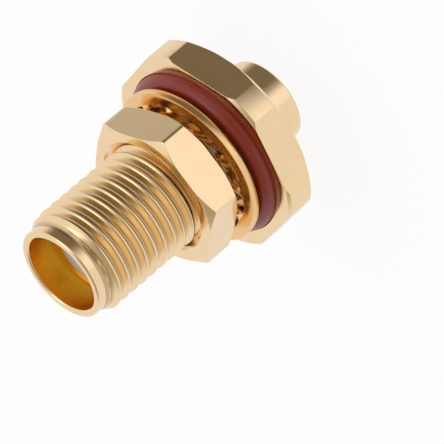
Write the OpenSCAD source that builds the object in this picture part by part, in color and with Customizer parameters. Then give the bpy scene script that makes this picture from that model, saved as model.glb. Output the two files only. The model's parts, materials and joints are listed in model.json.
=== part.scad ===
// Bulkhead jack of an SMA coaxial connector, solder type for semi-rigid cable.
// The axis is Z. The panel face of the flange is at z = 0 and the mating end points to +Z.

/* [Threaded barrel] */
// Outside diameter of the 1/4-36 thread
thread_d = 6.2; // [6.19:0.01:6.33]
// Diameter of the plain neck ahead of the thread
neck_d = 5.44; // [5.3:0.02:5.6]
// Length of the plain neck
neck_len = 0.7; // [0.5:0.05:1.2]
// Length of the barrel from the panel face to the mating rim
barrel_len = 11.1; // [9.5:0.1:14]
// Lead-in angle of the first thread, from the axis
lead_in_angle = 40; // [30:1:60]

/* [Bores] */
// Diameter of the mouth that takes the plug's shell
mouth_d = 4.6; // [4.59:0.01:4.64]
// Depth of the mouth, from the rim to the reference plane
mouth_depth = 1.9; // [1.88:0.01:2.2]
// Bevel round the mouth
mouth_bevel = 0.08; // [0:0.01:0.12]
// Outer diameter of the cable's copper jacket
cable_d = 3.58; // [3.4:0.01:3.7]
// Space for solder round the jacket, on the radius
solder_gap = 0.03; // [0.01:0.01:0.08]
// Bevel at the cable's way in
cable_bevel = 0.15; // [0:0.01:0.25]

/* [Flange] */
// Flange width across its flats
flange_flats = 11.2; // [10.8:0.1:12]
// Flange diameter over its turned corners
flange_d = 12.1; // [11.6:0.1:12.6]
// Flange thickness
flange_t = 2.0; // [1.6:0.1:3]
// Bevel of the corners at the panel face
front_bevel = 0.15; // [0.05:0.05:0.3]
// Width of the large bevel on the back of the corners
back_bevel_w = 0.44; // [0.1:0.02:0.5]
// Depth of the large bevel on the back of the corners
back_bevel_h = 0.35; // [0.1:0.05:0.6]

/* [Cable sleeve] */
// Outside diameter of the rear sleeve
sleeve_d = 4.95; // [4.6:0.05:5.4]
// Length of the sleeve behind the flange
sleeve_len = 3.0; // [2:0.1:6]
// Bevel round the sleeve's outer edge
sleeve_bevel = 0.12; // [0:0.01:0.2]

/* [Sealing ring] */
// Thickness of the rubber ring
ring_cord_d = 1.3; // [1.1:0.05:1.35]
// Outer diameter of the groove in the panel face
groove_outer_d = 10.1; // [9.9:0.05:10.3]
// Width of the groove
groove_w = 1.42; // [1.4:0.01:1.55]
// Depth of the groove
groove_depth = 0.65; // [0.6:0.05:0.8]
// Space between the ring and the groove's outer wall
ring_slack = 0.04; // [0.01:0.01:0.08]

/* [Lock washer] */
// Outside diameter of the washer
washer_d = 9.45; // [9:0.05:9.7]
// Width of the washer's closed rim
rim_w = 0.75; // [0.6:0.05:0.8]
// Thickness of the sheet
washer_t = 0.4; // [0.3:0.05:0.45]
// Number of inner teeth
tooth_count = 12; // [10:1:14]
// Share of each tooth's pitch that the tooth fills
tooth_share = 0.62; // [0.5:0.02:0.66]
// Twist of each tooth out of the sheet
tooth_twist = 22; // [10:1:26]
// Space between the teeth's tips and the thread, on the radius
tooth_gap = 0.1; // [0.05:0.01:0.15]
// Turn of the teeth about the axis
washer_turn = 8; // [0:1:30]

/* [Hex nut] */
// Nut width across its flats
nut_flats = 8; // [7.9:0.1:8.5]
// Nut thickness
nut_t = 2.13; // [1.6:0.01:3]
// Diameter of the flat on each face of the nut, inside the bevelled corners
nut_face_d = 8.16; // [7.9:0.02:8.4]
// Angle of the bevelled corners from the nut's face
nut_bevel_angle = 30; // [20:1:40]
// Clearance of the nut on the barrel, on the radius
nut_gap = 0.03; // [0.02:0.01:0.08]
// Countersink at each end of the nut's hole
nut_sink = 0.32; // [0.1:0.02:0.35]
// Turn of the nut about the axis
nut_turn = 20; // [0:1:60]

/* [Insulator] */
// Outside diameter of the insulator
insulator_d = 4.1; // [4:0.02:4.2]
// Length of the insulator
insulator_len = 6.3; // [5:0.1:8]

/* [Contact] */
// Outside diameter of the contact
contact_d = 1.27; // [1.2:0.01:1.3]
// Bore of the spring socket
socket_d = 0.94; // [0.9:0.01:0.96]
// Depth of the spring socket
socket_depth = 2.9; // [2.4:0.1:3.2]
// Width of the saw cut through the socket
slot_w = 0.2; // [0.12:0.01:0.22]
// Length of the saw cut
slot_len = 2.5; // [1.5:0.1:2.8]
// Bore of the solder pot for the cable's centre wire
pot_d = 0.96; // [0.93:0.01:1]
// Depth of the solder pot
pot_depth = 2.0; // [1.5:0.1:2.3]
// Diameter of the solder hole in the pot's side
pot_hole_d = 0.45; // [0.3:0.05:0.5]
// Distance of the solder hole from the contact's back end
pot_hole_pos = 1.2; // [0.8:0.1:1.6]
// Bevel round both ends of the contact
contact_bevel = 0.06; // [0.02:0.01:0.1]

/* [Assembly] */
// Gap between the panel face and the washer's rim
washer_lift = 0.96; // [0.9:0.02:1.2]
// Gap between the washer's rim and the nut
nut_lift = 0.56; // [0.4:0.02:0.8]

/* [Hidden] */
$fn = 96;
// Overlap that makes each cut run clean through a face
cut = 0.1;

thread_r = thread_d / 2;
neck_r = neck_d / 2;
mouth_r = mouth_d / 2;
cable_r = cable_d / 2 + solder_gap;
flange_r = flange_d / 2;
sleeve_r = sleeve_d / 2;
insulator_r = insulator_d / 2;
contact_r = contact_d / 2;
sleeve_end = -flange_t - sleeve_len;
neck_start = barrel_len - neck_len;
lead_in_len = (thread_r - neck_r) / tan(lead_in_angle);

insulator_front = barrel_len - mouth_depth;
insulator_back = insulator_front - insulator_len;

groove_outer_r = groove_outer_d / 2;
ring_r = groove_outer_r - ring_slack - ring_cord_d / 2;
ring_z = ring_cord_d / 2 - groove_depth;

washer_r = washer_d / 2;
rim_inner_r = washer_r - rim_w;
tooth_tip_r = thread_r + tooth_gap;
tooth_pitch = 360 / tooth_count;

nut_hole_r = thread_r + nut_gap;
nut_back = washer_lift + washer_t + nut_lift;

// Hexagonal plate with one flat facing +X, standing on z = 0
module hexagon(flats, t) {
    rotate([0, 0, 30])
        cylinder(r = flats / 2 / cos(30), h = t, $fn = 6);
}

// The one turned piece: sleeve, flange and threaded barrel, bored through
module body() {
    color("#d9b483")
        difference() {
            union() {
                rear_sleeve();
                flange();
                barrel();
            }
            sealing_groove();
            bores();
        }
}

module rear_sleeve() {
    rotate_extrude()
        polygon([
            [0, sleeve_end],
            [sleeve_r - sleeve_bevel, sleeve_end],
            [sleeve_r, sleeve_end + sleeve_bevel],
            [sleeve_r, -flange_t + cut],
            [0, -flange_t + cut]
        ]);
}

// Hexagon whose corners were turned round and bevelled in the lathe
module flange() {
    intersection() {
        translate([0, 0, -flange_t])
            hexagon(flange_flats, flange_t);
        rotate_extrude()
            polygon([
                [0, -flange_t],
                [flange_r - back_bevel_w, -flange_t],
                [flange_r, -flange_t + back_bevel_h],
                [flange_r, -front_bevel],
                [flange_r - front_bevel, 0],
                [0, 0]
            ]);
    }
}

module barrel() {
    rotate_extrude()
        polygon([
            [0, -cut],
            [thread_r, -cut],
            [thread_r, neck_start - lead_in_len],
            [neck_r, neck_start],
            [neck_r, barrel_len],
            [0, barrel_len]
        ]);
}

module sealing_groove() {
    rotate_extrude()
        translate([groove_outer_r - groove_w, -groove_depth])
            square([groove_w, groove_depth + cut]);
}

// Cable bore, insulator seat and mouth, from the back to the front
module bores() {
    rotate_extrude()
        polygon([
            [0, sleeve_end - cut],
            [cable_r + cable_bevel + cut, sleeve_end - cut],
            [cable_r, sleeve_end + cable_bevel],
            [cable_r, insulator_back],
            [insulator_r, insulator_back],
            [insulator_r, insulator_front],
            [mouth_r, insulator_front],
            [mouth_r, barrel_len - mouth_bevel],
            [mouth_r + mouth_bevel + cut, barrel_len + cut],
            [0, barrel_len + cut]
        ]);
}

module o_ring() {
    color("#8c3a28")
        translate([0, 0, ring_z])
            rotate_extrude()
                translate([ring_r, 0])
                    circle(d = ring_cord_d, $fn = 48);
}

// Flat ring with inner teeth, each twisted so that its edges bite both ways
module lock_washer() {
    color("#d8a24c")
        translate([0, 0, washer_lift])
            rotate([0, 0, washer_turn]) {
                difference() {
                    cylinder(r = washer_r, h = washer_t);
                    translate([0, 0, -cut])
                        cylinder(r = rim_inner_r, h = washer_t + 2 * cut);
                }
                for (i = [0 : tooth_count - 1])
                    rotate([0, 0, i * tooth_pitch])
                        tooth();
            }
}

// One tooth along +X, rooted in the rim and cut to the bore at its tip
module tooth() {
    root_w = 2 * rim_inner_r * tan(tooth_pitch * tooth_share / 2);
    tip_w = 2 * tooth_tip_r * tan(tooth_pitch * tooth_share / 2);
    root_x = rim_inner_r + washer_t / 2;
    difference() {
        translate([0, 0, washer_t / 2])
            rotate([tooth_twist, 0, 0])
                translate([0, 0, -washer_t / 2])
                    linear_extrude(washer_t)
                        polygon([
                            [0, -tip_w / 2],
                            [tooth_tip_r, -tip_w / 2],
                            [root_x, -root_w / 2],
                            [root_x, root_w / 2],
                            [tooth_tip_r, tip_w / 2],
                            [0, tip_w / 2]
                        ]);
        translate([0, 0, -washer_d / 2])
            cylinder(r = tooth_tip_r, h = washer_d);
    }
}

module hex_nut() {
    color("#e2bf8e")
        translate([0, 0, nut_back])
            rotate([0, 0, nut_turn])
                difference() {
                    intersection() {
                        hexagon(nut_flats, nut_t);
                        nut_bevels();
                    }
                    nut_hole();
                }
}

// Double cone that bevels the corners on both faces of the nut
module nut_bevels() {
    corner_r = nut_flats / 2 / cos(30) + cut;
    face_r = nut_face_d / 2;
    drop = (corner_r - face_r) * tan(nut_bevel_angle);
    rotate_extrude()
        polygon([
            [0, 0],
            [face_r, 0],
            [corner_r, drop],
            [corner_r, nut_t - drop],
            [face_r, nut_t],
            [0, nut_t]
        ]);
}

module nut_hole() {
    rotate_extrude()
        polygon([
            [0, -cut],
            [nut_hole_r + nut_sink + cut, -cut],
            [nut_hole_r, nut_sink],
            [nut_hole_r, nut_t - nut_sink],
            [nut_hole_r + nut_sink + cut, nut_t + cut],
            [0, nut_t + cut]
        ]);
}

module insulator() {
    color("#f2f0ee")
        translate([0, 0, insulator_back])
            difference() {
                cylinder(r = insulator_r, h = insulator_len);
                translate([0, 0, -cut])
                    cylinder(r = contact_r, h = insulator_len + 2 * cut);
            }
}

// Spring socket at the front, solder pot at the back, the same length as the insulator
module contact() {
    color("#d9a94f")
        translate([0, 0, insulator_back])
            difference() {
                contact_blank();
                translate([0, 0, insulator_len - socket_depth])
                    cylinder(d = socket_d, h = socket_depth + cut, $fn = 48);
                translate([0, 0, -cut])
                    cylinder(d = pot_d, h = pot_depth + cut, $fn = 48);
                translate([-contact_d, -slot_w / 2, insulator_len - slot_len])
                    cube([2 * contact_d, slot_w, slot_len + cut]);
                translate([0, 0, pot_hole_pos])
                    rotate([0, 90, 0])
                        cylinder(d = pot_hole_d, h = contact_d, $fn = 32);
            }
}

module contact_blank() {
    rotate_extrude()
        polygon([
            [0, 0],
            [contact_r - contact_bevel, 0],
            [contact_r, contact_bevel],
            [contact_r, insulator_len - contact_bevel],
            [contact_r - contact_bevel, insulator_len],
            [0, insulator_len]
        ]);
}

body();
o_ring();
lock_washer();
hex_nut();
insulator();
contact();
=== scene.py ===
# %% [markdown]
# # Bulkhead jack of an SMA coaxial connector
#
# The real jack is six pieces. One turned and gold-plated brass body carries the
# thread, the hexagon flange and the cable sleeve. A rubber ring seals the flange, and
# a toothed lock washer and a hexagon nut clamp the jack in its panel. Inside, a white
# PTFE insulator holds the gold contact on the axis.
#
# The construction model already gives every piece its size and place, and how the nut
# and washer travel. These cells keep that frame and give each piece the form and the
# finish that are too fine for it: the cut thread, softened edges, plated metal, rubber
# and PTFE.

# %% Load the frame
import json
import math

import bmesh
import bpy
from mathutils import Matrix, Vector


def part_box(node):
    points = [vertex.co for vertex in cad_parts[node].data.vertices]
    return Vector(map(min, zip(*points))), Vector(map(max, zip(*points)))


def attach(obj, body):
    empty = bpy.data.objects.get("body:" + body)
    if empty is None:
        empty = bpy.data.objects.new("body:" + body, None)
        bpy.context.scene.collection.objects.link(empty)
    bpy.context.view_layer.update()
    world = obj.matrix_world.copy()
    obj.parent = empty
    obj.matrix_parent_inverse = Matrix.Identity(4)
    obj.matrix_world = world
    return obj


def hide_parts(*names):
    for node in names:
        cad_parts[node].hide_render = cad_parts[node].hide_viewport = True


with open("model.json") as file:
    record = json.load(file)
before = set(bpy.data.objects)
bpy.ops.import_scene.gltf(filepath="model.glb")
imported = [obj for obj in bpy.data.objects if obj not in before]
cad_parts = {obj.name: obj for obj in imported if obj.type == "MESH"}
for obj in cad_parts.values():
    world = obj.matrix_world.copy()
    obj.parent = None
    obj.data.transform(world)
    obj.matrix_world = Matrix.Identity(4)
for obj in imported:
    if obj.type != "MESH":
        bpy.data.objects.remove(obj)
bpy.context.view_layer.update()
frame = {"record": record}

# %% [markdown]
# ## Sizes
#
# The pieces must fit the frame, so their main sizes are read from it: the boxes of the
# construction pieces, and the radii and depths of its bores. Only what is too small to
# be a size of its own there, such as the softening of an edge, is named here. The axis
# is Z, the panel face of the flange is at z = 0, and Blender works in metres.

# %% Sizes
MM = 0.001

mounts = {mount["name"]: mount for mount in frame["record"]["mounts"]}


def bore_r(name):
    return mounts[name]["dims"]["r_mm"] * MM


def bore_len(name):
    return mounts[name]["dims"]["length_mm"] * MM


body_low, body_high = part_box("body")
rim_z, sleeve_z = body_high.z, body_low.z
flange_flat_r, flange_turned_r = body_high.x, body_high.y
thread_r, mouth_r, cable_r = bore_r("thread"), bore_r("mouth"), bore_r("cable_bore")
insulator_low, insulator_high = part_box("insulator")

edge = 0.03 * MM  # softening of a machined edge
sectors = 6
sector_columns = 36
columns = sectors * sector_columns
print(f"length {(rim_z - sleeve_z) / MM:.1f} mm, flange {2 * flange_flat_r / MM:.1f} mm across flats")

# %% [markdown]
# ## Camera
#
# A long lens far away keeps the hexagons free of strong perspective. The camera looks
# down at the jack from the front and is rolled, so that the axis runs from the mating
# rim at the lower left to the cable sleeve at the upper right.

# %% Camera
camera_azimuth, camera_elevation, camera_roll = -1.79, 27.90, -130.85
camera_distance = 279.4 * MM
camera_aim = Vector((-3.39, 0.09, 1.92)) * MM

camera_data = bpy.data.cameras.new("camera")
camera_data.sensor_width = 36
camera_data.lens = 431.3
camera_data.clip_start, camera_data.clip_end = 0.01, 10
camera = bpy.data.objects.new("camera", camera_data)
camera.matrix_world = (
    Matrix.Translation(camera_aim)
    @ Matrix.Rotation(math.radians(camera_azimuth), 4, "Z")
    @ Matrix.Rotation(math.radians(90 - camera_elevation), 4, "X")
    @ Matrix.Translation((0, 0, camera_distance))
    @ Matrix.Rotation(math.radians(camera_roll), 4, "Z")
)
bpy.context.scene.collection.objects.link(camera)
bpy.context.scene.camera = camera
print("camera at", [round(value / MM, 1) for value in camera.location])

# %% [markdown]
# ## Building node trees
#
# Light, materials and repeated shapes are all node trees. A few small helpers keep the
# cells that build them short: one adds a node and fills its sockets, and the others add
# one step of arithmetic, one range, one blend of colours or one noise. A value that is
# itself a socket is linked, any other is set.

# %% Helpers for node trees
def add_node(tree, kind, inputs=(), **settings):
    """Adds a node; inputs maps a socket's name or number to a value or an output."""
    made = tree.nodes.new(kind)
    made.location.x = 180 * len(tree.nodes)
    for name, value in settings.items():
        setattr(made, name, value)
    for key, value in dict(inputs).items():
        if isinstance(value, bpy.types.NodeSocket):
            tree.links.new(value, made.inputs[key])
        else:
            made.inputs[key].default_value = value
    return made


def calc(tree, operation, *values):
    """The output of one Math node."""
    inputs = dict(enumerate(values))
    return add_node(tree, "ShaderNodeMath", inputs, operation=operation).outputs[0]


def remap(tree, value, low, high, to_low=0.0, to_high=1.0, **settings):
    """Stretches the range from low to high onto the range from to_low to to_high."""
    inputs = {"Value": value, "From Min": low, "From Max": high, "To Min": to_low, "To Max": to_high}
    return add_node(tree, "ShaderNodeMapRange", inputs, **settings).outputs[0]


def mix(tree, share, first, second):
    """Blends two colours; a share of 0 is the first, 1 is the second."""
    return add_node(tree, "ShaderNodeMix", {0: share, 6: first, 7: second}, data_type="RGBA").outputs[2]


def noise(tree, place, size, detail, roughness=0.5):
    """Noise whose features are about this size, in metres."""
    inputs = {"Vector": place, "Scale": 1 / size, "Detail": detail, "Roughness": roughness}
    return add_node(tree, "ShaderNodeTexNoise", inputs).outputs[0]


print("node helpers:", [helper.__name__ for helper in (add_node, calc, remap, mix, noise)])


# %% [markdown]
# ## Light
#
# Polished gold has little look of its own, it mirrors the room. So the room is what
# gets designed. A pale sweep goes all round. One soft panel is low beside the part and
# one is high up, and the floor glows a little. A dark card below makes the top facets
# deep, and two dimmer ones, on the far side and round the camera, give the rings and the
# thread their shade. Each is a patch of the world, blended in by the angle between a
# ray and the patch's middle, and a later card covers an earlier one. Lamps could do the
# same, but a lamp is a bright dot in a mirror. The camera itself sees plain white.

# %% Light
def direction(azimuth, elevation):
    """Unit vector; azimuth turns from +X towards +Y, elevation rises from the floor."""
    turn, rise = math.radians(azimuth), math.radians(elevation)
    return Vector((math.cos(turn) * math.cos(rise), math.sin(turn) * math.cos(rise), math.sin(rise)))


world = bpy.data.worlds.new("studio")
world.use_nodes = True
bpy.context.scene.world = world
room = world.node_tree
room.nodes.clear()
ray = add_node(room, "ShaderNodeTexCoord").outputs["Generated"]
sweep_colour = (0.88, 0.865, 0.95, 1)


def card(below, colour, azimuth, elevation, inner, outer):
    """Lays a round soft-edged patch over what is below it; angles are in degrees."""
    middle = direction(azimuth, elevation)
    facing = add_node(room, "ShaderNodeVectorMath", {0: ray, 1: middle}, operation="DOT_PRODUCT")
    rim_facing, full_facing = (math.cos(math.radians(angle)) for angle in (outer, inner))
    cover = remap(
        room, facing.outputs["Value"], rim_facing, full_facing, interpolation_type="SMOOTHSTEP"
    )
    return mix(room, cover, below, colour)


dark_card = card(sweep_colour, (0.19, 0.165, 0.135, 1), -34, -32, 22, 54)
floor_glow = card(dark_card, (0.72, 0.68, 0.56, 1), -40, -88, 18, 40)
soft_panel = card(floor_glow, (1.06, 1.03, 1.15, 1), -110, -28, 8, 20)
far_side = card(soft_panel, (0.42, 0.39, 0.34, 1), -165, 58, 22, 52)
upper_panel = card(far_side, (1.60, 1.58, 1.60, 1), -22, 62, 8, 18)
camera_side = card(upper_panel, (0.32, 0.28, 0.23, 1), -98, 28, 14, 36)
seen_by_camera = add_node(room, "ShaderNodeLightPath").outputs["Is Camera Ray"]
lit = add_node(room, "ShaderNodeBackground", {"Color": camera_side, "Strength": 1.0})
white = add_node(room, "ShaderNodeBackground", {"Color": (1, 1, 1, 1), "Strength": 1.0})
either = add_node(room, "ShaderNodeMixShader", {0: seen_by_camera, 1: lit.outputs[0], 2: white.outputs[0]})
add_node(room, "ShaderNodeOutputWorld", {"Surface": either.outputs[0]})
print("world with", len(room.nodes), "nodes")

# %% [markdown]
# ## Floor
#
# The part stands on its cable sleeve on a pale floor, which bounces light up to it and
# keeps its shadow. Metal looks straight through the floor at the white sweep, as it
# would over a glass table, because a mirrored floor edge would cut the facets in two.

# %% Floor
floor_size = 0.8
white_level, white_share = 1.04, 0.86  # how bright the camera's floor is, and how much of it

floor_paint = bpy.data.materials.new("pale_floor")
floor_paint.use_nodes = True
paint = floor_paint.node_tree
paint.nodes.clear()
camera_ray = add_node(paint, "ShaderNodeLightPath").outputs["Is Camera Ray"]
matt = add_node(paint, "ShaderNodeBsdfDiffuse", {"Color": (0.9, 0.9, 0.9, 1)})
bright = add_node(paint, "ShaderNodeEmission", {"Color": (1, 1, 1, 1), "Strength": white_level})
share = calc(paint, "MULTIPLY", camera_ray, white_share)
mixed = add_node(paint, "ShaderNodeMixShader", {0: share, 1: matt.outputs[0], 2: bright.outputs[0]})
add_node(paint, "ShaderNodeOutputMaterial", {"Surface": mixed.outputs[0]})

floor_mesh = bpy.data.meshes.new("floor")
half = floor_size / 2
floor_mesh.from_pydata(
    [(-half, -half, sleeve_z), (half, -half, sleeve_z), (half, half, sleeve_z), (-half, half, sleeve_z)],
    [], [(0, 1, 2, 3)],
)
floor_mesh.materials.append(floor_paint)
floor = bpy.data.objects.new("floor", floor_mesh)
bpy.context.scene.collection.objects.link(floor)
floor.visible_glossy = False
print("floor at z =", round(sleeve_z / MM, 2), "mm")

# %% [markdown]
# ## Plated metal
#
# All the metal is brass under a thin layer of gold, and the layer follows every mark of
# the tool below it. Turned faces carry fine rings round the axis. The flats of the
# hexagons are the skin of the drawn bar, with faint streaks along it. One function
# makes both: it stretches a noise along the marks, and uses it for a very shallow bump
# and a little change of roughness and colour. A picture of scratches would repeat and
# blur, while noise in the piece's own coordinates stays sharp from any side. Little
# light comes back out of a thread's sharp root, so painted shade by radius darkens it there.

# %% Plated metal
def gold(name, tint, roughness, marks, depth, root_painted_shade=None):
    """Gold plating; marks is turned or drawn, depth is how deep the tool marks are.

    root_painted_shade, for turned marks only, is (full radius, end radius, colour) of
    the painted shade that darkens a thread's root.
    """
    material = bpy.data.materials.new(name)
    material.use_nodes = True
    tree = material.node_tree
    surface = tree.nodes["Principled BSDF"]
    surface.inputs["Metallic"].default_value = 1.0
    place = add_node(tree, "ShaderNodeTexCoord").outputs["Object"]
    x, y, z = add_node(tree, "ShaderNodeSeparateXYZ", {0: place}).outputs
    if marks == "turned":
        radius = calc(tree, "SQRT", calc(tree, "ADD", *(calc(tree, "MULTIPLY", v, v) for v in (x, y))))
        grain = add_node(tree, "ShaderNodeCombineXYZ", {0: radius, 1: z}).outputs[0]
    else:
        along = calc(tree, "MULTIPLY", z, 0.04)
        grain = add_node(tree, "ShaderNodeCombineXYZ", {0: x, 1: y, 2: along}).outputs[0]
    lines = noise(tree, grain, 0.11 * MM, 3.0, 0.6)
    clouds = noise(tree, place, 1.1 * MM, 4.0, 0.55)
    deeper = [0.95 * value for value in tint] + [1]
    paler = [min(1.0, 1.04 * value) for value in tint] + [1]
    colour = mix(tree, clouds, deeper, paler)
    wear = calc(tree, "ADD", calc(tree, "MULTIPLY", lines, 0.6), calc(tree, "MULTIPLY", clouds, 0.4))
    gloss = remap(tree, wear, 0.3, 0.7, roughness * 0.8, roughness * 1.2)
    bump = add_node(tree, "ShaderNodeBump", {"Strength": 1.0, "Distance": depth, "Height": wear})
    # Painted shade: towards the axis the thread's root fades into a dark brown.
    if root_painted_shade:
        full_r, end_r, dark = root_painted_shade
        colour = mix(tree, remap(tree, radius, full_r, end_r), dark + (1,), colour)
    tree.links.new(colour, surface.inputs["Base Color"])
    tree.links.new(gloss, surface.inputs["Roughness"])
    tree.links.new(bump.outputs[0], surface.inputs["Normal"])
    return material


pale_gold = (0.95, 0.72, 0.395)
deep_gold = (0.93, 0.61, 0.27)
# Painted shade: a deeper, redder gold for the bores, standing in for light that bounces several times inside
# them.
bore_gold_with_painted_shade = (0.93, 0.53, 0.04)
turned_gold = gold("plating_turned", pale_gold, 0.17, "turned", 0.0012 * MM)
drawn_gold = gold("plating_drawn", pale_gold, 0.15, "drawn", 0.0010 * MM)
# Painted shade in the thread's root: dark brown at 2.62 mm radius, plain gold from 2.86 mm.
root_painted_shade = (2.62 * MM, 2.86 * MM, (0.36, 0.20, 0.08))
thread_gold = gold("plating_thread", pale_gold, 0.22, "turned", 0.0012 * MM, root_painted_shade)
bore_plating_painted_shade = gold("plating_bore_painted_shade", bore_gold_with_painted_shade, 0.30, "turned", 0.0012 * MM)
nut_turned_gold = gold("plating_nut_turned", pale_gold, 0.15, "turned", 0.0010 * MM)
nut_drawn_gold = gold("plating_nut_drawn", pale_gold, 0.13, "drawn", 0.0006 * MM)
stamped_gold = gold("plating_washer", deep_gold, 0.20, "turned", 0.0010 * MM)
contact_gold = gold("plating_contact", deep_gold, 0.15, "turned", 0.0010 * MM)
print("metal finishes:", [m.name for m in bpy.data.materials if m.name.startswith("plating")])

# %% [markdown]
# ## Rubber and PTFE
#
# The sealing ring is moulded silicone rubber: a red-brown that light enters a little,
# a satin skin, and specks of dust that it always picks up. The insulator is PTFE cut
# from a rod: white, waxy and slightly see-through, with faint marks from the lathe.
# Both are soft-looking because light spreads below the skin, so they use subsurface
# scattering rather than a paler paint.

# %% Rubber and PTFE
def soft_material(name, light, dark, speck, roughness, glow, glow_depth):
    """Moulded or cut polymer; speck is the colour of its few bright dust grains."""
    material = bpy.data.materials.new(name)
    material.use_nodes = True
    tree = material.node_tree
    surface = tree.nodes["Principled BSDF"]
    surface.inputs["Subsurface Weight"].default_value = glow
    surface.inputs["Subsurface Radius"].default_value = (1.0, 0.6, 0.5)
    surface.inputs["Subsurface Scale"].default_value = glow_depth
    place = add_node(tree, "ShaderNodeTexCoord").outputs["Object"]
    mottle = noise(tree, place, 0.7 * MM, 5.0, 0.6)
    pores = noise(tree, place, 0.06 * MM, 2.0)
    tone = mix(tree, mottle, dark + (1,), light + (1,))
    cells = add_node(tree, "ShaderNodeTexVoronoi", {"Vector": place, "Scale": 1 / (0.9 * MM)})
    grain = calc(tree, "LESS_THAN", cells.outputs["Distance"], 0.045)
    dusty = mix(tree, grain, tone, speck + (1,))
    gloss = remap(tree, mottle, 0.3, 0.7, roughness * 0.85, roughness * 1.15)
    bump = add_node(tree, "ShaderNodeBump", {"Strength": 1.0, "Distance": 0.003 * MM, "Height": pores})
    tree.links.new(dusty, surface.inputs["Base Color"])
    tree.links.new(gloss, surface.inputs["Roughness"])
    tree.links.new(bump.outputs[0], surface.inputs["Normal"])
    return material


red_rubber = soft_material(
    "rubber_red", (0.34, 0.034, 0.010), (0.25, 0.025, 0.008), (0.60, 0.40, 0.34), 0.30, 0.10, 0.3 * MM
)
white_ptfe = soft_material(
    "ptfe_white", (0.93, 0.93, 0.92), (0.88, 0.88, 0.88), (0.80, 0.78, 0.74), 0.42, 0.5, 0.8 * MM
)
print("soft finishes:", red_rubber.name, white_ptfe.name)

# %% [markdown]
# ## Rings and outlines
#
# Nearly every piece here is a stack of rings round the axis, joined by skin. A ring is
# written as (radius across flats, radius across corners, height). Where both radii are
# the same it is a circle. Where the corners reach further out it is a hexagon whose
# corners were turned off in the lathe, and its points crowd towards the edges between
# flat and corner, so that the edges stay crisp. Cutting the pieces with booleans would
# be shorter, but it leaves thin triangles that show in polished metal.

# %% Rings
corner_columns = 8
flat_columns = sector_columns - 2 * corner_columns
half_sector = math.radians(180 / sectors)


def turned(radius, height):
    return Vector((radius, radius, height))


def hexed(flat_r, corner_r, height):
    return Vector((flat_r, corner_r, height))


def sector_angles(flat_half):
    """Angles over one sector, from corner to corner, with the flat's middle at zero."""
    spread = half_sector - flat_half
    quarter = math.pi / 2 / corner_columns
    before = [-half_sector + spread * math.sin(quarter * i) for i in range(corner_columns)]
    flat = [-flat_half * math.cos(math.pi * i / flat_columns) for i in range(flat_columns)]
    after = [flat_half + spread * (1 - math.cos(quarter * i)) for i in range(corner_columns)]
    return before + flat + after


def soft_min(a, b, blend):
    overlap = max(blend - abs(a - b), 0) / blend
    return min(a, b) - overlap**3 * blend / 6


def ring_points(ring, turn=0.0):
    """The points of one ring; turn rotates its flats about the axis, in radians."""
    flat_r, corner_r, height = ring
    if corner_r <= flat_r:
        step = 2 * half_sector / sector_columns
        outline = [(-half_sector + step * i, flat_r) for i in range(sector_columns)]
    else:
        flat_half = math.acos(max(flat_r / corner_r, math.cos(half_sector)))
        outline = [
            (angle, soft_min(flat_r / math.cos(angle), corner_r, 1.2 * edge))
            for angle in sector_angles(flat_half)
        ]
    return [
        Vector((
            radius * math.cos(turn + angle + 2 * half_sector * sector),
            radius * math.sin(turn + angle + 2 * half_sector * sector),
            height,
        ))
        for sector in range(sectors)
        for angle, radius in outline
    ]


def steps(start, end, count):
    """Rings between start and end, without the ends, for a bevel that meets flats."""
    return [start.lerp(end, i / count) for i in range(1, count)]


def soften(rings, amount=edge, arc=3):
    """Rounds the corner at every ring but the first and last with a short arc."""
    made = [rings[0]]
    for before, corner, after in zip(rings, rings[1:], rings[2:]):
        way_in, way_out = (before - corner), (after - corner)
        bend = way_in.normalized().dot(way_out.normalized())
        if bend < -0.98:
            made.append(corner)
            continue
        start = corner + way_in.normalized() * min(amount, way_in.length * 0.45)
        end = corner + way_out.normalized() * min(amount, way_out.length * 0.45)
        for i in range(arc + 1):
            share_done = i / arc
            made.append(start.lerp(corner, share_done).lerp(corner.lerp(end, share_done), share_done))
    return made + [rings[-1]]


def skin(bm, rings, turn=0.0, closed=False):
    """Joins a stack of rings with quads, and the last to the first if closed."""
    loops = [[bm.verts.new(point) for point in ring_points(ring, turn)] for ring in rings]
    pairs = list(zip(loops, loops[1:])) + ([(loops[-1], loops[0])] if closed else [])
    for low, high in pairs:
        for i in range(len(low)):
            j = (i + 1) % len(low)
            bm.faces.new((low[i], low[j], high[j], high[i]))
    return loops


print("columns round the axis:", columns)

# %% [markdown]
# ## Finishing a piece
#
# Each mesh ends the same way. Doubled points are merged, faces are turned outwards, and
# the shading is smooth except across sharp edges. A Weighted Normal modifier then lets
# the large faces decide the shading, so that flats stay flat and only the softened
# edges curve. The result is baked into a plain mesh before the piece joins its body.

# %% Helpers for finished pieces
def baked(carrier):
    """A plain mesh of an object with its modifiers applied; the object is removed."""
    graph = bpy.context.evaluated_depsgraph_get()
    mesh = bpy.data.meshes.new_from_object(carrier.evaluated_get(graph))
    bpy.data.objects.remove(carrier)
    return mesh


def linked(name, mesh):
    made = bpy.data.objects.new(name, mesh)
    bpy.context.scene.collection.objects.link(made)
    return made


def close_up(bm, gap=0.0004 * MM):
    """Merges doubled points, drops what collapsed and turns the faces outwards."""
    bmesh.ops.remove_doubles(bm, verts=bm.verts, dist=gap)
    bmesh.ops.dissolve_degenerate(bm, edges=bm.edges, dist=gap)
    bmesh.ops.recalc_face_normals(bm, faces=bm.faces)


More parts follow.
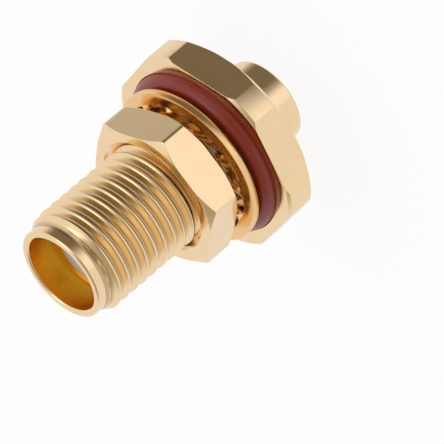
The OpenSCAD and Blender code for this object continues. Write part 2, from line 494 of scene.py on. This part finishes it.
def finish_piece(name, bm, materials, node, body, slot, paint_face=None, sharp=40):
    """Turns a bmesh into a finished piece that rides a body and replaces its node."""
    open_edges = sum(1 for e in bm.edges if len(e.link_faces) != 2)
    for face in bm.faces:
        face.smooth = True
        face.material_index = paint_face(face) if paint_face else 0
    mesh = bpy.data.meshes.new(name)
    bm.to_mesh(mesh)
    bm.free()
    for material in materials:
        mesh.materials.append(material)
    mesh.set_sharp_from_angle(angle=math.radians(sharp))
    carrier = linked(name + "_raw", mesh)
    weighted = carrier.modifiers.new("weighted", "WEIGHTED_NORMAL")
    weighted.keep_sharp = True
    weighted.weight = 80
    piece = linked(name, baked(carrier))
    piece.data.name = name
    triangles = sum(len(polygon.vertices) - 2 for polygon in piece.data.polygons)
    print(f"{name}: {triangles} triangles, {open_edges} open edges")
    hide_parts(node)
    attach(piece, body)


print("piece helpers:", [helper.__name__ for helper in (baked, linked, close_up, finish_piece)])

# %% [markdown]
# ## The thread
#
# The barrel and the nut share one screw thread, 36 turns to the inch. A thread follows
# a strict rule, so Geometry Nodes make it. A plain grid is rolled round the axis, and
# each point climbs one pitch in one turn, so the last column meets the first column one
# turn higher up. Its distance from the axis comes from how far it lies from the crest.
# Sweeping a triangle along a spiral is the usual way, but it leaves seams between the
# turns. The same tree cuts the outside thread, which starts in a lead-in cone and runs
# out at the flange, and the inside thread with a countersink at both ends. The groove
# runs out over the cone deep enough for the nut's thread, so the nut can pass it.

# %% Thread tree
INCH = 25.4 * MM
pitch = INCH / 36
flank_slope = math.tan(math.radians(60))


def dress(tree, shape, finish):
    """Gives the shape its material and makes it the tree's output."""
    dressed = add_node(tree, "GeometryNodeSetMaterial", {"Geometry": shape.outputs[0], "Material": finish})
    add_node(tree, "NodeGroupOutput", {0: dressed.outputs[0]})


def thread_tree():
    tree = bpy.data.node_groups.new("screw_thread", "GeometryNodeTree")
    lengths = [
        "Pitch", "Crest radius", "Root radius", "Crest width", "Crest rounding", "Root rounding",
        "Start", "End", "Start radius", "End radius", "Start slope", "Lead-in slope", "Run-in radius",
        "Neck", "Phase",
    ]
    kinds = [(name, "NodeSocketFloat") for name in lengths] + [("Inside", "NodeSocketBool")]
    kinds += [(name, "NodeSocketInt") for name in ("Columns", "Rows a turn")]
    kinds += [("Finish", "NodeSocketMaterial")]
    for name, kind in kinds:
        tree.interface.new_socket(name=name, in_out="INPUT", socket_type=kind)
    tree.interface.new_socket(name="Geometry", in_out="OUTPUT", socket_type="NodeSocketGeometry")
    given = add_node(tree, "NodeGroupInput").outputs

    length = calc(tree, "SUBTRACT", given["End"], given["Start"])
    turns = calc(tree, "ADD", calc(tree, "CEIL", calc(tree, "DIVIDE", length, given["Pitch"])), 1)
    rows = calc(tree, "ADD", calc(tree, "MULTIPLY", turns, given["Rows a turn"]), 1)
    grid = add_node(tree, "GeometryNodeMeshGrid", {
        "Size X": 1.0, "Size Y": 1.0,
        "Vertices X": calc(tree, "ADD", given["Columns"], 1), "Vertices Y": rows,
    })
    position = add_node(tree, "GeometryNodeInputPosition").outputs[0]
    x, y, z = add_node(tree, "ShaderNodeSeparateXYZ", {0: position}).outputs
    round_share = calc(tree, "ADD", x, 0.5)
    turn = calc(tree, "MULTIPLY", calc(tree, "ADD", y, 0.5), turns)

    climb = calc(tree, "SUBTRACT", calc(tree, "ADD", turn, round_share), 1)
    height = calc(tree, "MULTIPLY_ADD", climb, given["Pitch"], given["Start"])
    height = calc(tree, "MINIMUM", calc(tree, "MAXIMUM", height, given["Start"]), given["End"])

    climbed = calc(tree, "SUBTRACT", calc(tree, "DIVIDE", height, given["Pitch"]), round_share)
    phase = calc(tree, "ADD", climbed, given["Phase"])
    from_crest = calc(tree, "MULTIPLY", calc(tree, "PINGPONG", phase, 0.5), given["Pitch"])
    past_crest = calc(tree, "SUBTRACT", calc(tree, "MULTIPLY", given["Crest width"], 0.5), from_crest)
    radius = calc(tree, "MULTIPLY_ADD", past_crest, flank_slope, given["Crest radius"])
    radius = calc(tree, "SMOOTH_MIN", radius, given["Crest radius"], given["Crest rounding"])
    radius = calc(tree, "SMOOTH_MAX", radius, given["Root radius"], given["Root rounding"])

    after_start = calc(tree, "MULTIPLY", calc(tree, "SUBTRACT", height, given["Start"]), given["Start slope"])
    radius = calc(tree, "MAXIMUM", radius, calc(tree, "SUBTRACT", given["Start radius"], after_start))
    before_end = calc(tree, "SUBTRACT", calc(tree, "SUBTRACT", given["End"], given["Neck"]), height)
    cone = calc(tree, "MULTIPLY_ADD", before_end, given["Lead-in slope"], given["End radius"])
    behind_cone = calc(tree, "MAXIMUM", calc(tree, "SUBTRACT", cone, given["Run-in radius"]), 0.0)
    run_in = calc(tree, "SUBTRACT", given["Run-in radius"], behind_cone)
    lead_in = calc(tree, "MINIMUM", calc(tree, "MAXIMUM", radius, run_in), cone)
    lead_in = calc(tree, "SMOOTH_MAX", lead_in, given["End radius"], given["Neck"])
    sink = calc(tree, "MAXIMUM", radius, calc(tree, "SUBTRACT", given["End radius"], before_end))
    forms = {"Switch": given["Inside"], "False": lead_in, "True": sink}
    chosen = add_node(tree, "GeometryNodeSwitch", forms, input_type="FLOAT").outputs[0]

    angle = calc(tree, "MULTIPLY", round_share, math.tau)
    rolled = add_node(tree, "ShaderNodeCombineXYZ", {
        0: calc(tree, "MULTIPLY", chosen, calc(tree, "COSINE", angle)),
        1: calc(tree, "MULTIPLY", chosen, calc(tree, "SINE", angle)),
        2: height,
    })
    placed = add_node(
        tree, "GeometryNodeSetPosition", {"Geometry": grid.outputs["Mesh"], "Position": rolled.outputs[0]}
    )
    real = add_node(tree, "GeometryNodeRealizeInstances", {0: placed.outputs[0]})
    dress(tree, real, given["Finish"])
    return tree


def run_tree(tree, values, start=None):
    """The plain mesh that a Geometry Nodes tree makes of a start mesh and named values."""
    carrier = linked(tree.name, start or bpy.data.meshes.new(tree.name))
    modifier = carrier.modifiers.new(tree.name, "NODES")
    modifier.node_group = tree
    for item in tree.interface.items_tree:
        if item.in_out == "INPUT" and item.name in values:
            modifier[item.identifier] = values[item.name]
    return baked(carrier)


screw_thread = thread_tree()
print("thread tree with", len(screw_thread.nodes), "nodes")

# %% [markdown]
# ## The body
#
# The body is one piece of brass. Its section is drawn as it would be on a lathe: from
# the end of the thread over the bevelled rim, down the mouth, the insulator's seat and
# the cable bore, round the sleeve, and out over the hexagon flange with its turned
# corners to the groove for the sealing ring. The thread tree fills the gap that is left
# along the barrel. One closed mesh avoids the dark seams that separate parts would show.

# %% Body
neck_r = 2.72 * MM
lead_in_slope = math.tan(math.radians(40))
cone_fillet = 0.16 * MM
neck_start = rim_z - 0.7 * MM + cone_fillet
mouth_bevel = 0.08 * MM
rim_bevel = 0.08 * MM
sleeve_r = 2.475 * MM
sleeve_bevel = 0.12 * MM
cable_bevel = 0.15 * MM
flange_back = -2.0 * MM
front_bevel = 0.15 * MM
back_bevel_w, back_bevel_h = 0.44 * MM, 0.35 * MM
groove_outer_r, groove_inner_r, groove_floor = 5.05 * MM, 3.63 * MM, -0.65 * MM
thread_start = 0.2 * MM

thread_values = {
    "Pitch": pitch, "Crest radius": thread_r, "Root radius": 2.60 * MM, "Crest width": 0.11 * MM,
    "Crest rounding": 0.04 * MM, "Root rounding": 0.02 * MM, "Start": thread_start,
    "End": neck_start, "Start radius": thread_r, "End radius": neck_r, "Start slope": 0.7,
    "Lead-in slope": lead_in_slope, "Run-in radius": 2.82 * MM, "Neck": cone_fillet, "Phase": 0.632,
    "Inside": False,
    "Columns": columns, "Rows a turn": 16, "Finish": thread_gold,
}

mouth_side = [
    turned(neck_r, neck_start),
    turned(neck_r, rim_z - rim_bevel),
    turned(neck_r - rim_bevel, rim_z),
    turned(mouth_r + mouth_bevel, rim_z),
    turned(mouth_r, rim_z - mouth_bevel),
    turned(mouth_r, insulator_high.z),
    turned(insulator_high.x, insulator_high.z),
    turned(insulator_high.x, insulator_low.z),
    turned(cable_r, insulator_low.z),
    turned(cable_r, sleeve_z + cable_bevel),
    turned(cable_r + cable_bevel, sleeve_z),
    turned(sleeve_r - sleeve_bevel, sleeve_z),
    turned(sleeve_r, sleeve_z + sleeve_bevel),
    turned(sleeve_r, flange_back),
]
back_corner = hexed(flange_flat_r, flange_turned_r - back_bevel_w, flange_back)
back_shoulder = hexed(flange_flat_r, flange_turned_r, flange_back + back_bevel_h)
front_shoulder = hexed(flange_flat_r, flange_turned_r, -front_bevel)
front_corner = hexed(flange_flat_r, flange_turned_r - front_bevel, 0)
flange_side = [
    back_corner, *steps(back_corner, back_shoulder, 6), back_shoulder,
    front_shoulder, *steps(front_shoulder, front_corner, 3), front_corner,
]
panel_side = [
    turned(groove_outer_r, 0),
    turned(groove_outer_r, groove_floor),
    turned(groove_inner_r, groove_floor),
    turned(groove_inner_r, 0),
    turned(thread_r, 0),
    turned(thread_r, thread_start),
]


def flat_faces(reach, low, high, turn=0.0):
    """Picks the faces that lie on a hexagon's flats, between two heights."""
    def pick(face):
        centre, normal = face.calc_center_median(), face.normal
        off = (math.atan2(normal.y, normal.x) - turn + half_sector) % (2 * half_sector) - half_sector
        on_flat = abs(normal.z) < 0.02 and abs(off) < math.radians(1.0)
        return 1 if on_flat and centre.xy.length > reach and low < centre.z < high else 0
    return pick


on_flange_flat = flat_faces(0.98 * flange_flat_r, flange_back, 0)


def body_finish(face):
    """0 for plain turned faces, 1 for the flats, 2 for the thread, 3 inside the bores."""
    centre = face.calc_center_median()
    # Inside the bores: the gold with painted shade.
    if centre.xy.length < mouth_r + 0.001 * MM and sleeve_z + cable_bevel < centre.z < rim_z - mouth_bevel:
        return 3
    if centre.xy.length < thread_r + 0.001 * MM and thread_start < centre.z < neck_start:
        return 2
    return on_flange_flat(face)


bm = bmesh.new()
skin(bm, soften(mouth_side + flange_side + panel_side))
bm.from_mesh(run_tree(screw_thread, thread_values))
close_up(bm)
finish_piece(
    "jack_body", bm, [turned_gold, drawn_gold, thread_gold, bore_plating_painted_shade], "body", "shell", "gold_body",
    body_finish,
)

# %% [markdown]
# ## The nut
#
# The nut is cut from hexagon bar and its corners are bevelled on both faces by a cone,
# which leaves the curved line on every flat. The bevel needs several rings, because the
# line where a cone meets a flat is curved. Its thread has the same phase as the
# barrel's, with a little clearance, so both mesh wherever the nut stands.

# %% Nut
nut_low, nut_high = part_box("hex_nut")
nut_turn = math.radians(20)
nut_flat_r = 4.0 * MM
nut_corner_r = 4.59 * MM
nut_face_r = 4.08 * MM
nut_bevel = (nut_corner_r - nut_face_r) * math.tan(math.radians(30))
sink_r = 3.45 * MM
thread_clearance = 0.03 * MM


def nut_bevel_rings(face_z, side_z):
    face = hexed(nut_flat_r, nut_face_r, face_z)
    side = hexed(nut_flat_r, nut_corner_r, side_z)
    return [face, *steps(face, side, 8), side]


nut_rings = (
    [turned(sink_r, nut_high.z)]
    + nut_bevel_rings(nut_high.z, nut_high.z - nut_bevel)
    + nut_bevel_rings(nut_low.z, nut_low.z + nut_bevel)[::-1]
    + [turned(sink_r, nut_low.z)]
)
nut_thread_values = thread_values | {
    "Crest radius": thread_r + thread_clearance, "Root radius": 2.84 * MM,
    "Start": nut_low.z, "End": nut_high.z, "Start radius": sink_r, "End radius": sink_r,
    "Start slope": 1.0, "Lead-in slope": 1.0, "Neck": 0.0, "Inside": True, "Finish": nut_turned_gold,
}
bm = bmesh.new()
skin(bm, soften(nut_rings), nut_turn)
bm.from_mesh(run_tree(screw_thread, nut_thread_values))
close_up(bm)
finish_piece(
    "nut", bm, [nut_turned_gold, nut_drawn_gold], "hex_nut", "nut", "gold_nut",
    flat_faces(0.98 * nut_flat_r, nut_low.z, nut_high.z, nut_turn),
)

# %% [markdown]
# ## The lock washer
#
# The washer is stamped from thin sheet: a closed rim, and inner teeth that a second
# stroke twists, so that one edge of each bites the nut and the other the panel. One
# tooth with its share of the rim is modelled as a small grid, whose sides close in a
# round notch between the teeth. Geometry Nodes copy it round the axis and weld the
# copies into one ring, so the count is one number.

# %% Lock washer
washer_low, washer_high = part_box("lock_washer")
washer_r = washer_high.x
washer_t = 0.4 * MM
washer_mid = (washer_low.z + washer_high.z) / 2
rim_inner_r = 3.975 * MM
tooth_tip_r = 3.25 * MM
tooth_count = 12
tooth_share = 0.62
tooth_twist = math.radians(22)
washer_turn = math.radians(8)
notch_round = 0.12 * MM
twist_ease = 0.30 * MM

half_pitch = math.pi / tooth_count
half_tooth = half_pitch * tooth_share
notch_end = rim_inner_r + notch_round * 0.5


def tooth_half_angle(radius):
    """Half the angle that the sheet fills at this radius; the notch ends in an arc."""
    into_round = min(max((radius - notch_end + notch_round) / notch_round, 0), 1)
    return half_tooth + (half_pitch - half_tooth) * (1 - math.sqrt(1 - into_round**2))


def tooth_point(radius, across, side):
    """A point of the twisted tooth; across runs from -1 to 1, side is -1 or 1."""
    angle = across * tooth_half_angle(radius)
    ease = min(max((notch_end - radius) / twist_ease, 0), 1)
    twist = tooth_twist * ease * ease * (3 - 2 * ease)
    width, height = radius * math.sin(angle), side * washer_t / 2
    turned_width = width * math.cos(twist) - height * math.sin(twist)
    turned_height = width * math.sin(twist) + height * math.cos(twist)
    return Vector((radius * math.cos(angle), turned_width, washer_mid + turned_height))


def tooth_mesh(across_count=12):
    notch_radii = [notch_end - notch_round * math.cos(math.pi / 2 * i / 6) for i in range(7)]
    tip_radii = [tooth_tip_r + (notch_radii[0] - tooth_tip_r) * i / 6 for i in range(6)]
    rim_radii = [notch_end + (washer_r - notch_end) * i / 4 for i in range(1, 5)]
    radii = tip_radii + notch_radii + rim_radii
    bm = bmesh.new()
    sheets = {
        side: [
            [bm.verts.new(tooth_point(r, 2 * i / across_count - 1, side)) for i in range(across_count + 1)]
            for r in radii
        ]
        for side in (-1, 1)
    }
    for rows in sheets.values():
        for low, high in zip(rows, rows[1:]):
            for i in range(across_count):
                bm.faces.new((low[i], low[i + 1], high[i + 1], high[i]))
    under, over = sheets[-1], sheets[1]
    for row in (0, -1):
        for i in range(across_count):
            bm.faces.new((under[row][i], under[row][i + 1], over[row][i + 1], over[row][i]))
    for row in range(len(tip_radii) + len(notch_radii) - 1):
        for column in (0, -1):
            bm.faces.new((
                under[row][column], under[row + 1][column], over[row + 1][column], over[row][column],
            ))
    mesh = bpy.data.meshes.new("tooth")
    bm.to_mesh(mesh)
    bm.free()
    return mesh


def ring_of_teeth_tree():
    tree = bpy.data.node_groups.new("ring_of_teeth", "GeometryNodeTree")
    kinds = {
        "Tooth": "Geometry", "Count": "Int", "First angle": "Float", "Weld": "Float", "Finish": "Material",
    }
    for name, kind in kinds.items():
        tree.interface.new_socket(name=name, in_out="INPUT", socket_type="NodeSocket" + kind)
    tree.interface.new_socket(name="Geometry", in_out="OUTPUT", socket_type="NodeSocketGeometry")
    given = add_node(tree, "NodeGroupInput").outputs
    points = add_node(tree, "GeometryNodePoints", {"Count": given["Count"]})
    number = add_node(tree, "GeometryNodeInputIndex").outputs[0]
    step = calc(tree, "DIVIDE", math.tau, given["Count"])
    angle = calc(tree, "MULTIPLY_ADD", number, step, given["First angle"])
    spin = add_node(tree, "ShaderNodeCombineXYZ", {2: angle})
    copies = add_node(tree, "GeometryNodeInstanceOnPoints", {
        "Points": points.outputs[0], "Instance": given["Tooth"], "Rotation": spin.outputs[0],
    })
    real = add_node(tree, "GeometryNodeRealizeInstances", {0: copies.outputs[0]})
    welded = add_node(
        tree, "GeometryNodeMergeByDistance", {"Geometry": real.outputs[0], "Distance": given["Weld"]}
    )
    dress(tree, welded, given["Finish"])
    return tree


washer_mesh = run_tree(
    ring_of_teeth_tree(),
    {"Count": tooth_count, "First angle": washer_turn, "Weld": 0.001 * MM, "Finish": stamped_gold},
    tooth_mesh(),
)
bm = bmesh.new()
bm.from_mesh(washer_mesh)
close_up(bm)
sharp_edges = [e for e in bm.edges if e.calc_face_angle(0) > math.radians(50)]
bmesh.ops.bevel(
    bm, geom=sharp_edges, offset=0.035 * MM, segments=2, profile=0.5, affect="EDGES", clamp_overlap=True
)
bmesh.ops.recalc_face_normals(bm, faces=bm.faces)
finish_piece("toothed_washer", bm, [stamped_gold], "lock_washer", "washer", "gold_washer")

# %% [markdown]
# ## The sealing ring
#
# The ring is moulded in two halves, so a hair of flash runs round it where the halves
# met. It is a plain torus with that line raised, in quads fine enough for a smooth
# highlight.

# %% Sealing ring
ring_low, ring_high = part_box("o_ring")
cord_r = (ring_high.z - ring_low.z) / 2
ring_r = ring_high.x - cord_r
ring_mid = (ring_high.z + ring_low.z) / 2
flash = 0.008 * MM
cord_points = 44


def cord_ring(step):
    around = math.tau * step / cord_points
    swell = flash * math.exp(-((math.sin(around) / 0.08) ** 2))
    reach = cord_r + swell
    return turned(ring_r + reach * math.cos(around), ring_mid + reach * math.sin(around))


bm = bmesh.new()
skin(bm, [cord_ring(step) for step in range(cord_points)], closed=True)
close_up(bm)
finish_piece("sealing_ring", bm, [red_rubber], "o_ring", "shell", "red_rubber", sharp=180)

# %% [markdown]
# ## The insulator
#
# A PTFE rod, parted off and drilled. It fills its seat, so it is drawn a hair smaller
# than the seat, and its edges are broken a little more than the metal's, because the
# knife drags the soft material.

# %% Insulator
seat_gap = 0.004 * MM
contact_low, contact_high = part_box("contact")
contact_r = contact_high.x
insulator_r = insulator_high.x - seat_gap
insulator_rings = [
    turned(contact_r + seat_gap, insulator_low.z),
    turned(insulator_r, insulator_low.z),
    turned(insulator_r, insulator_high.z),
    turned(contact_r + seat_gap, insulator_high.z),
]
bm = bmesh.new()
middle = turned(contact_r + seat_gap, (insulator_low.z + insulator_high.z) / 2)
skin(bm, soften([middle, *insulator_rings, middle], 0.05 * MM)[:-1], closed=True)
close_up(bm)
finish_piece("ptfe_insulator", bm, [white_ptfe], "insulator", "shell", "white_ptfe")

# %% [markdown]
# ## The contact
#
# The contact is turned from springy rod. Its front is drilled for the plug's
# pin and sawn across, so that two fingers grip the pin. Its back is drilled for the
# cable's centre wire, with a small hole in the side for the solder. The turned blank is
# a stack of rings, and the saw cut and the side hole are Boolean cuts, as the real ones
# are made after turning.

# %% Contact
socket_r, socket_len = bore_r("socket"), bore_len("socket")
pot_r, pot_len = bore_r("solder_pot"), bore_len("solder_pot")
contact_bevel = 0.06 * MM
slot_w, slot_len = 0.2 * MM, 2.5 * MM
hole_r, hole_from_end = 0.225 * MM, 1.2 * MM
pole_r = 0.002 * MM

front, back = contact_high.z, contact_low.z
contact_rings = [
    turned(pole_r, front - socket_len),
    turned(socket_r, front - socket_len),
    turned(socket_r, front - contact_bevel),
    turned(socket_r + contact_bevel, front),
    turned(contact_r - contact_bevel, front),
    turned(contact_r, front - contact_bevel),
    turned(contact_r, back + contact_bevel),
    turned(contact_r - contact_bevel, back),
    turned(pot_r + contact_bevel / 2, back),
    turned(pot_r, back + contact_bevel),
    turned(pot_r, back + pot_len),
    turned(pole_r, back + pot_len),
]
bm = bmesh.new()
blank = skin(bm, soften(contact_rings, 0.015 * MM))
for pole in (blank[0], blank[-1]):
    bm.faces.new(pole)
close_up(bm)
blank_mesh = bpy.data.meshes.new("contact_blank")
bm.to_mesh(blank_mesh)
bm.free()


def cutter(name, build, matrix):
    """A hidden solid that a Boolean modifier subtracts."""
    bm = bmesh.new()
    build(bm, matrix)
    mesh = bpy.data.meshes.new(name)
    bm.to_mesh(mesh)
    bm.free()
    return linked(name, mesh)


saw = cutter(
    "saw_cut",
    lambda bm, matrix: bmesh.ops.create_cube(bm, size=1, matrix=matrix),
    Matrix.Translation((0, 0, front)) @ Matrix.Diagonal((4 * contact_r, slot_w, 2 * slot_len, 1)),
)
drill = cutter(
    "solder_hole",
    lambda bm, matrix: bmesh.ops.create_cone(
        bm, cap_ends=True, segments=32, radius1=hole_r, radius2=hole_r, depth=2 * contact_r, matrix=matrix
    ),
    Matrix.Translation((contact_r, 0, back + hole_from_end)) @ Matrix.Rotation(math.pi / 2, 4, "Y"),
)
carrier = linked("contact_blank", blank_mesh)
for tool in (saw, drill):
    cut = carrier.modifiers.new(tool.name, "BOOLEAN")
    cut.operation, cut.solver, cut.object = "DIFFERENCE", "EXACT", tool
cut_mesh = baked(carrier)
for tool in (saw, drill):
    bpy.data.objects.remove(tool)
bm = bmesh.new()
bm.from_mesh(cut_mesh)
finish_piece("centre_contact", bm, [contact_gold], "contact", "shell", "gold_contact")

# %% [markdown]
# ## View settings
#
# The view settings stay plain, so that the colours come out as they are written.

# %% View settings
bpy.context.scene.view_settings.view_transform = "Standard"
